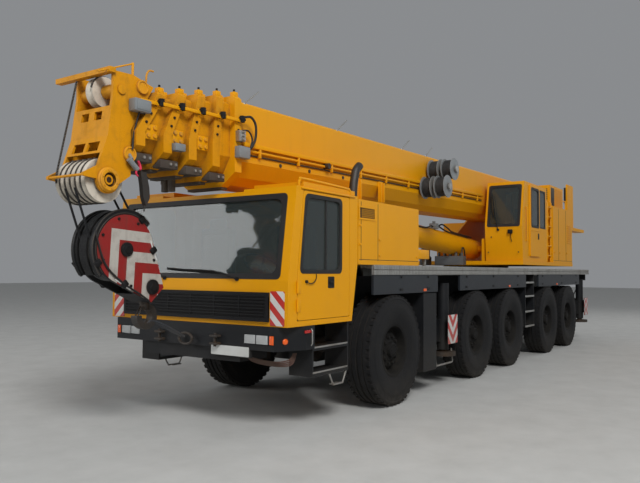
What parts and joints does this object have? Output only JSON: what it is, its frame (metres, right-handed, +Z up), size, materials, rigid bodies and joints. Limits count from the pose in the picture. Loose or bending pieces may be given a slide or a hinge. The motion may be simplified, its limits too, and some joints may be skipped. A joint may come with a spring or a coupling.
{
  "type": "five-axle mobile crane with a telescopic boom",
  "caption": "All-terrain mobile crane in road trim: wheeled carrier with cab and outriggers, slewing upper with cab, winch and telescopic boom, hook block at the nose.",
  "frame": {"origin": "on the ground, under the middle of the machine's length and width", "axes": "+X towards the driver's cab and boom head, +Y to the vehicle's left, +Z up"},
  "size_m": [14.425, 2.75, 3.84],
  "materials": {
    "carrier_paint": "semi-matt black-grey enamel",
    "body_paint": "gloss yellow enamel",
    "bare_alloy": "chequer plate",
    "tyre": "road rubber",
    "cab_glass": "tinted",
    "lamp_glass": "clear lens",
    "trim_black": "moulded",
    "seat_cloth": "woven seat cover",
    "polished_rod": "hard chrome",
    "sheave_nylon": "cast nylon",
    "engine_iron": "painted casting",
    "hook_paint": "red and white stripes",
    "hook_steel": "forged"
  },
  "bodies": {
    "root": {"chassis_frame": "carrier_paint", "axle_beams": "carrier_paint", "deck": "bare_alloy", "side_skirts": "carrier_paint", "outrigger_boxes": "carrier_paint", "driver_cab_shell": "body_paint", "driver_cab_glass": "cab_glass", "driver_cab_interior": "seat_cloth", "radiator_grille": "trim_black", "front_bumper": "trim_black", "front_lamps": "lamp_glass", "engine_hood": "body_paint", "carrier_engine": "engine_iron", "ladders_and_steps": "carrier_paint", "side_boxes": "carrier_paint"},
    "turntable": {"turntable": "body_paint", "crane_cab_shell": "body_paint", "crane_cab_seat": "seat_cloth", "power_unit_housings": "body_paint"},
    "boom": {"boom_base": "body_paint"},
    "section_2": {"boom_section_2": "body_paint"},
    "section_3": {"boom_section_3": "body_paint"},
    "section_4": {"boom_section_4": "body_paint"},
    "section_5": {"boom_section_5": "body_paint"},
    "section_6": {"boom_section_6_head": "body_paint", "boom_head_sheaves": "sheave_nylon"},
    "luff_barrel": {"luff_barrel": "body_paint"},
    "luff_rod": {"luff_rod": "polished_rod"},
    "winch": {"winch_drum": "carrier_paint"},
    "crane_cab_door": {"crane_cab_door": "body_paint"},
    "hook_block": {"hook_block": "hook_paint"},
    "hook": {"hook": "hook_steel"},
    "wheel_1_left": {"wheel_1_left": "tyre"},
    "knuckle_1_left": {"knuckle_1_left": "carrier_paint"},
    "wheel_1_right": {"wheel_1_right": "tyre"},
    "knuckle_1_right": {"knuckle_1_right": "carrier_paint"},
    "wheel_2_left": {"wheel_2_left": "tyre"},
    "knuckle_2_left": {"knuckle_2_left": "carrier_paint"},
    "wheel_2_right": {"wheel_2_right": "tyre"},
    "knuckle_2_right": {"knuckle_2_right": "carrier_paint"},
    "wheel_3_left": {"wheel_3_left": "tyre"},
    "wheel_3_right": {"wheel_3_right": "tyre"},
    "wheel_4_left": {"wheel_4_left": "tyre"},
    "knuckle_4_left": {"knuckle_4_left": "carrier_paint"},
    "wheel_4_right": {"wheel_4_right": "tyre"},
    "knuckle_4_right": {"knuckle_4_right": "carrier_paint"},
    "wheel_5_left": {"wheel_5_left": "tyre"},
    "knuckle_5_left": {"knuckle_5_left": "carrier_paint"},
    "wheel_5_right": {"wheel_5_right": "tyre"},
    "knuckle_5_right": {"knuckle_5_right": "carrier_paint"},
    "outrigger_beam_front_left": {"outrigger_beam_front_left": "carrier_paint"},
    "outrigger_jack_front_left": {"outrigger_jack_front_left": "carrier_paint"},
    "outrigger_beam_front_right": {"outrigger_beam_front_right": "carrier_paint"},
    "outrigger_jack_front_right": {"outrigger_jack_front_right": "carrier_paint"},
    "outrigger_beam_rear_left": {"outrigger_beam_rear_left": "carrier_paint"},
    "outrigger_jack_rear_left": {"outrigger_jack_rear_left": "carrier_paint"},
    "outrigger_beam_rear_right": {"outrigger_beam_rear_right": "carrier_paint"},
    "outrigger_jack_rear_right": {"outrigger_jack_rear_right": "carrier_paint"},
    "cab_door_left": {"cab_door_left": "body_paint"},
    "cab_door_right": {"cab_door_right": "body_paint"}
  },
  "joints": [
    {"name": "steer_1_left", "type": "hinge", "parent": "root", "child": "knuckle_1_left", "pos_m": [3.3875, 0.9, 0.685], "axis": [0, 0, 1], "range_deg": [-30, 30]},
    {"name": "roll_1_left", "type": "hinge", "parent": "knuckle_1_left", "child": "wheel_1_left", "pos_m": [3.3875, 1.1875, 0.685], "axis": [0, 1, 0], "continuous": true},
    {"name": "steer_1_right", "type": "hinge", "parent": "root", "child": "knuckle_1_right", "pos_m": [3.3875, -0.9, 0.685], "axis": [0, 0, 1], "range_deg": [-30, 30]},
    {"name": "roll_1_right", "type": "hinge", "parent": "knuckle_1_right", "child": "wheel_1_right", "pos_m": [3.3875, -1.1875, 0.685], "axis": [0, 1, 0], "continuous": true},
    {"name": "steer_2_left", "type": "hinge", "parent": "root", "child": "knuckle_2_left", "pos_m": [0.6075, 0.9, 0.685], "axis": [0, 0, 1], "range_deg": [-15, 15]},
    {"name": "roll_2_left", "type": "hinge", "parent": "knuckle_2_left", "child": "wheel_2_left", "pos_m": [0.6075, 1.1875, 0.685], "axis": [0, 1, 0], "continuous": true},
    {"name": "steer_2_right", "type": "hinge", "parent": "root", "child": "knuckle_2_right", "pos_m": [0.6075, -0.9, 0.685], "axis": [0, 0, 1], "range_deg": [-15, 15]},
    {"name": "roll_2_right", "type": "hinge", "parent": "knuckle_2_right", "child": "wheel_2_right", "pos_m": [0.6075, -1.1875, 0.685], "axis": [0, 1, 0], "continuous": true},
    {"name": "roll_3_left", "type": "hinge", "parent": "root", "child": "wheel_3_left", "pos_m": [-1.0425, 1.1875, 0.685], "axis": [0, 1, 0], "continuous": true},
    {"name": "roll_3_right", "type": "hinge", "parent": "root", "child": "wheel_3_right", "pos_m": [-1.0425, -1.1875, 0.685], "axis": [0, 1, 0], "continuous": true},
    {"name": "steer_4_left", "type": "hinge", "parent": "root", "child": "knuckle_4_left", "pos_m": [-3.4225, 0.9, 0.685], "axis": [0, 0, 1], "range_deg": [-6, 6]},
    {"name": "roll_4_left", "type": "hinge", "parent": "knuckle_4_left", "child": "wheel_4_left", "pos_m": [-3.4225, 1.1875, 0.685], "axis": [0, 1, 0], "continuous": true},
    {"name": "steer_4_right", "type": "hinge", "parent": "root", "child": "knuckle_4_right", "pos_m": [-3.4225, -0.9, 0.685], "axis": [0, 0, 1], "range_deg": [-6, 6]},
    {"name": "roll_4_right", "type": "hinge", "parent": "knuckle_4_right", "child": "wheel_4_right", "pos_m": [-3.4225, -1.1875, 0.685], "axis": [0, 1, 0], "continuous": true},
    {"name": "steer_5_left", "type": "hinge", "parent": "root", "child": "knuckle_5_left", "pos_m": [-5.0725, 0.9, 0.685], "axis": [0, 0, 1], "range_deg": [-18, 18]},
    {"name": "roll_5_left", "type": "hinge", "parent": "knuckle_5_left", "child": "wheel_5_left", "pos_m": [-5.0725, 1.1875, 0.685], "axis": [0, 1, 0], "continuous": true},
    {"name": "steer_5_right", "type": "hinge", "parent": "root", "child": "knuckle_5_right", "pos_m": [-5.0725, -0.9, 0.685], "axis": [0, 0, 1], "range_deg": [-18, 18]},
    {"name": "roll_5_right", "type": "hinge", "parent": "knuckle_5_right", "child": "wheel_5_right", "pos_m": [-5.0725, -1.1875, 0.685], "axis": [0, 1, 0], "continuous": true},
    {"name": "slide_front_left", "type": "slide", "parent": "root", "child": "outrigger_beam_front_left", "axis": [0, 1, 0], "range_m": [0, 2]},
    {"name": "lower_front_left", "type": "slide", "parent": "outrigger_beam_front_left", "child": "outrigger_jack_front_left", "axis": [0, 0, -1], "range_m": [0, 0.6]},
    {"name": "slide_front_right", "type": "slide", "parent": "root", "child": "outrigger_beam_front_right", "axis": [0, -1, 0], "range_m": [0, 2]},
    {"name": "lower_front_right", "type": "slide", "parent": "outrigger_beam_front_right", "child": "outrigger_jack_front_right", "axis": [0, 0, -1], "range_m": [0, 0.6]},
    {"name": "slide_rear_left", "type": "slide", "parent": "root", "child": "outrigger_beam_rear_left", "axis": [0, 1, 0], "range_m": [0, 2]},
    {"name": "lower_rear_left", "type": "slide", "parent": "outrigger_beam_rear_left", "child": "outrigger_jack_rear_left", "axis": [0, 0, -1], "range_m": [0, 0.6]},
    {"name": "slide_rear_right", "type": "slide", "parent": "root", "child": "outrigger_beam_rear_right", "axis": [0, -1, 0], "range_m": [0, 2]},
    {"name": "lower_rear_right", "type": "slide", "parent": "outrigger_beam_rear_right", "child": "outrigger_jack_rear_right", "axis": [0, 0, -1], "range_m": [0, 0.6]},
    {"name": "open_cab_door_left", "type": "hinge", "parent": "root", "child": "cab_door_left", "pos_m": [5.4435, 1.3313, 1.6], "axis": [0, 0, -1], "range_deg": [0, 70]},
    {"name": "open_cab_door_right", "type": "hinge", "parent": "root", "child": "cab_door_right", "pos_m": [5.4435, -1.3313, 1.6], "axis": [0, 0, 1], "range_deg": [0, 70]},
    {"name": "slew", "type": "hinge", "parent": "root", "child": "turntable", "pos_m": [-2.8125, 0, 1.79], "axis": [0, 0, 1], "continuous": true},
    {"name": "luff", "type": "hinge", "parent": "turntable", "child": "boom", "pos_m": [-4.7625, 0, 3.1], "axis": [0, -1, 0], "range_deg": [0, 82]},
    {"name": "telescope_2", "type": "slide", "parent": "boom", "child": "section_2", "axis": [0.9998, 0, -0.0195], "range_m": [0, 9]},
    {"name": "telescope_3", "type": "slide", "parent": "section_2", "child": "section_3", "axis": [0.9998, 0, -0.0195], "range_m": [0, 9]},
    {"name": "telescope_4", "type": "slide", "parent": "section_3", "child": "section_4", "axis": [0.9998, 0, -0.0195], "range_m": [0, 9]},
    {"name": "telescope_5", "type": "slide", "parent": "section_4", "child": "section_5", "axis": [0.9998, 0, -0.0195], "range_m": [0, 9]},
    {"name": "telescope_6", "type": "slide", "parent": "section_5", "child": "section_6", "axis": [0.9998, 0, -0.0195], "range_m": [0, 9]},
    {"name": "luff_barrel_turn", "type": "hinge", "parent": "turntable", "child": "luff_barrel", "pos_m": [-2.5125, 0, 2.15], "axis": [0, -1, 0], "range_deg": [0, 91]},
    {"name": "luff_rod_slide", "type": "slide", "parent": "luff_barrel", "child": "luff_rod", "axis": [0.9981, 0, 0.0624], "range_m": [0, 3.06]},
    {"name": "winch_turn", "type": "hinge", "parent": "turntable", "child": "winch", "pos_m": [-5.9125, 0, 2.45], "axis": [0, 1, 0], "continuous": true},
    {"name": "slide_crane_cab_door", "type": "slide", "parent": "turntable", "child": "crane_cab_door", "axis": [-1, 0, 0], "range_m": [0, 0.6]},
    {"name": "hook_block_swing", "type": "hinge", "parent": "section_6", "child": "hook_block", "pos_m": [6.9477, 0, 2.485], "axis": [0, 1, 0], "range_deg": [0, 27.5]},
    {"name": "hook_swivel", "type": "hinge", "parent": "hook_block", "child": "hook", "pos_m": [6.2545, 0, 1.4513], "axis": [0, 0, 1], "continuous": true}
  ],
  "couplings": [
    {"joint": "steer_1_right", "follows": "steer_1_left", "ratio": 1},
    {"joint": "steer_2_left", "follows": "steer_1_left", "ratio": 0.5},
    {"joint": "steer_2_right", "follows": "steer_1_left", "ratio": 0.5},
    {"joint": "steer_4_left", "follows": "steer_1_left", "ratio": -0.2},
    {"joint": "steer_4_right", "follows": "steer_1_left", "ratio": -0.2},
    {"joint": "steer_5_left", "follows": "steer_1_left", "ratio": -0.6},
    {"joint": "steer_5_right", "follows": "steer_1_left", "ratio": -0.6},
    {"joint": "luff_barrel_turn", "follows": "luff", "ratio": 1.1095},
    {"joint": "luff_rod_slide", "follows": "luff", "m_per_rad": 2.1356},
    {"joint": "hook_block_swing", "follows": "luff", "ratio": 0.33}
  ]
}
